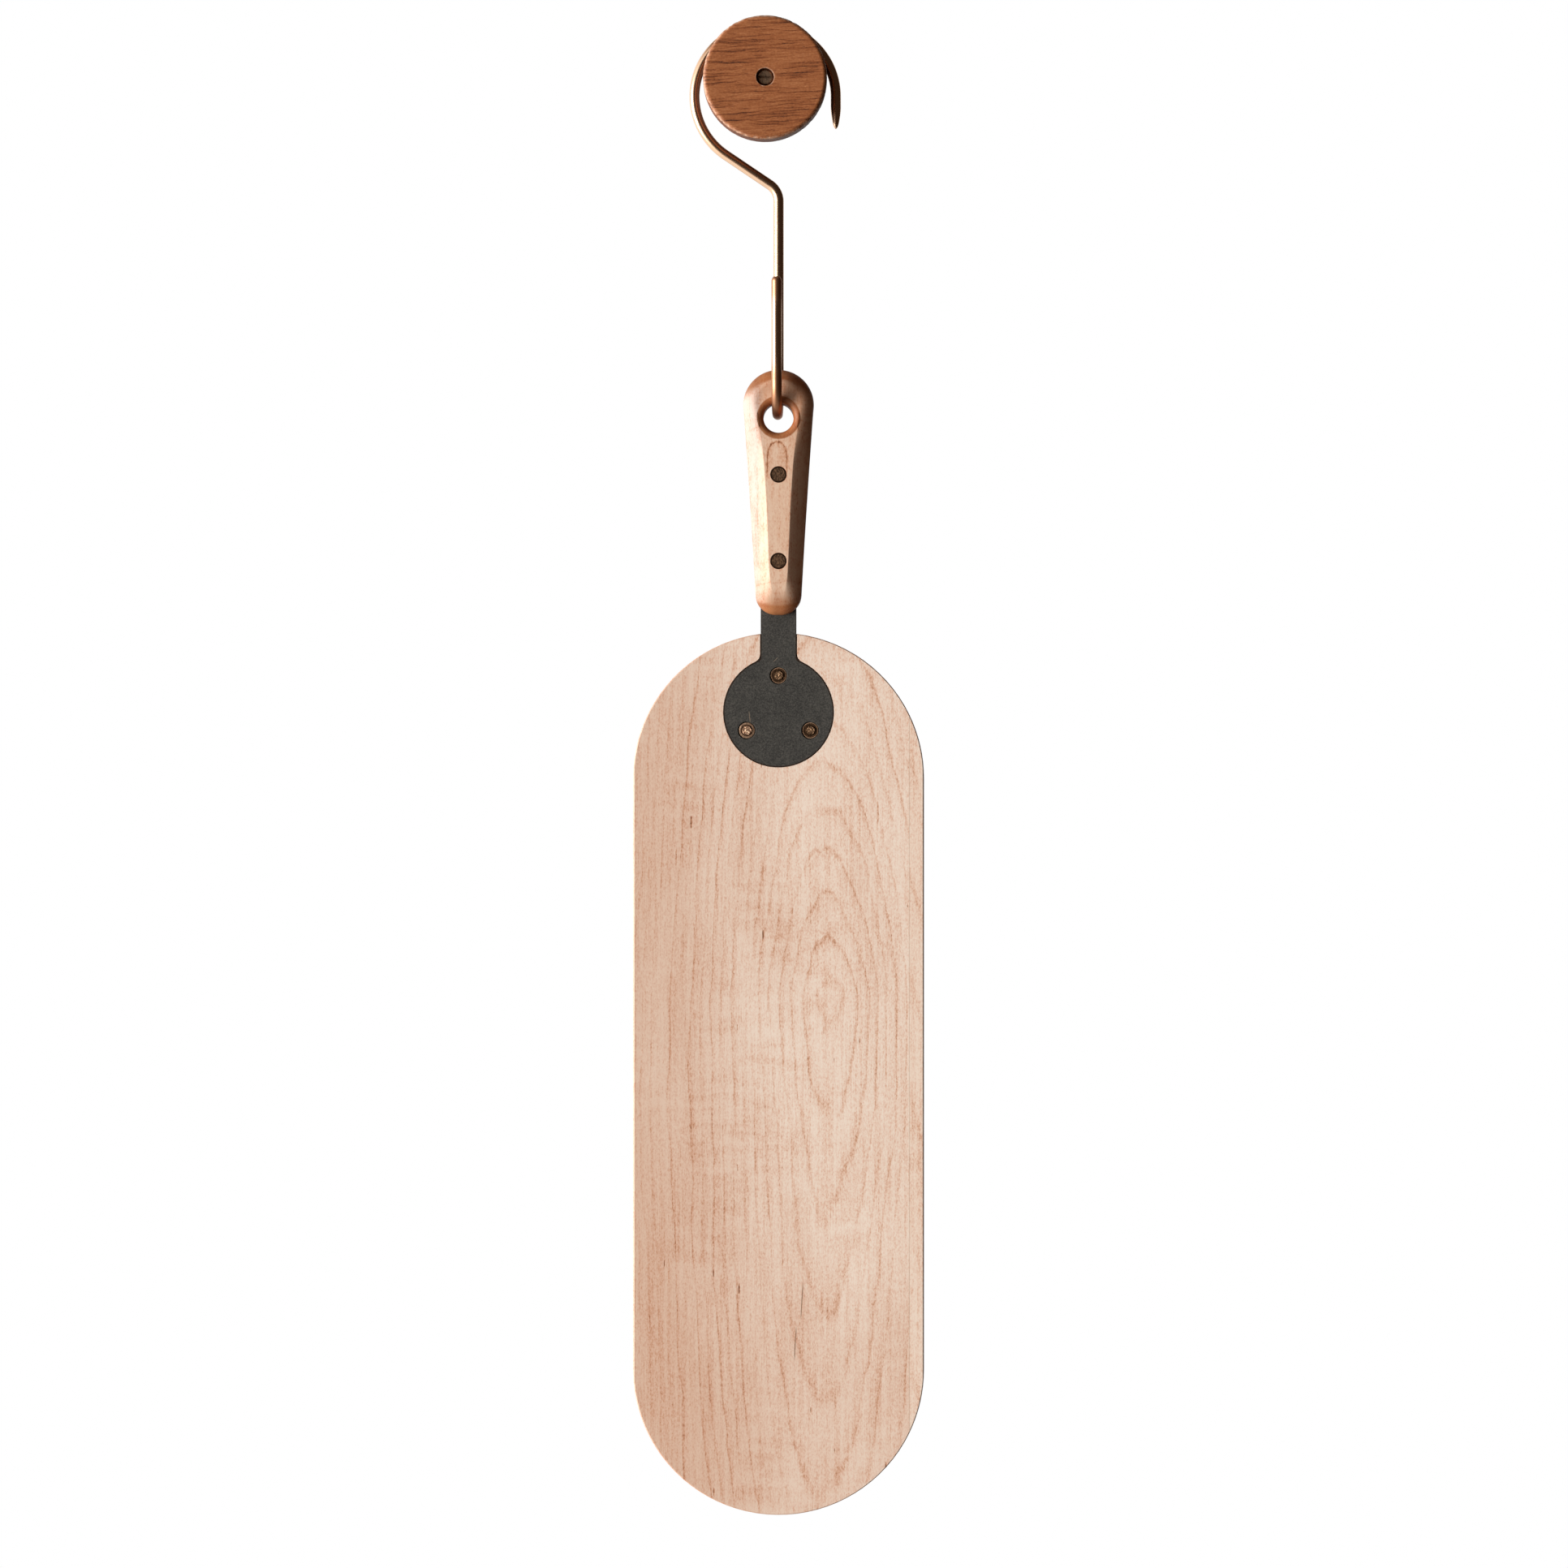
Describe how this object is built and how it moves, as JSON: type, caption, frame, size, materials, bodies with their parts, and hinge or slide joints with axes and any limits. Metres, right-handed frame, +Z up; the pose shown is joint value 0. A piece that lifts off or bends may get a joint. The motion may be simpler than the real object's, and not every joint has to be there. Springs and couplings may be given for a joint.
{
  "type": "hanging serving board",
  "caption": "Long round-ended wooden serving board with a riveted handle, hanging by its handle hole from a twisted metal S-hook on a round wooden wall knob.",
  "frame": {"origin": "centre of the knob's back face, on the wall and on the wall screw's axis", "axes": "+Z up, +Y into the wall, +X to the right seen from the front"},
  "size_m": [0.155, 0.091, 0.799],
  "materials": {
    "knob_oak": "oiled oak, open grain",
    "screw_brass": "dark patina",
    "plug_nylon": "moulded grey nylon",
    "hook_brass": "polished, lightly aged",
    "handle_maple": "sanded and oiled maple",
    "blackened_steel": "blackened steel, matte, fine scratches",
    "board_maple": "sanded maple, cathedral grain",
    "strip_maple": "sanded maple, slanting grain",
    "pin_brass": "dark mottled patina",
    "rivet_copper": "hammered copper",
    "burr_copper": "darkened copper washer"
  },
  "bodies": {
    "knob": {"knob_face": "knob_oak", "knob_neck": "knob_oak", "wall_screw": "screw_brass", "wall_plug": "plug_nylon"},
    "hook": {"s_hook": "hook_brass"},
    "board": {"handle": "handle_maple", "handle_pin_upper": "pin_brass", "handle_pin_lower": "pin_brass", "tang_plate": "blackened_steel", "board_main": "board_maple", "board_edge_strip": "strip_maple", "board_rivet_top": "rivet_copper", "board_rivet_left": "rivet_copper", "board_rivet_right": "rivet_copper", "rivet_burr_top": "burr_copper", "rivet_burr_left": "burr_copper", "rivet_burr_right": "burr_copper"}
  },
  "joints": [
    {"name": "hook_swing", "type": "hinge", "parent": "knob", "child": "hook", "pos_m": [0, -0.011, 0], "axis": [0, 1, 0], "range_deg": [-30, 30]},
    {"name": "board_swing", "type": "hinge", "parent": "hook", "child": "board", "pos_m": [0.0072, -0.02815, -0.179], "axis": [0, 1, 0], "range_deg": [-60, 60]}
  ]
}
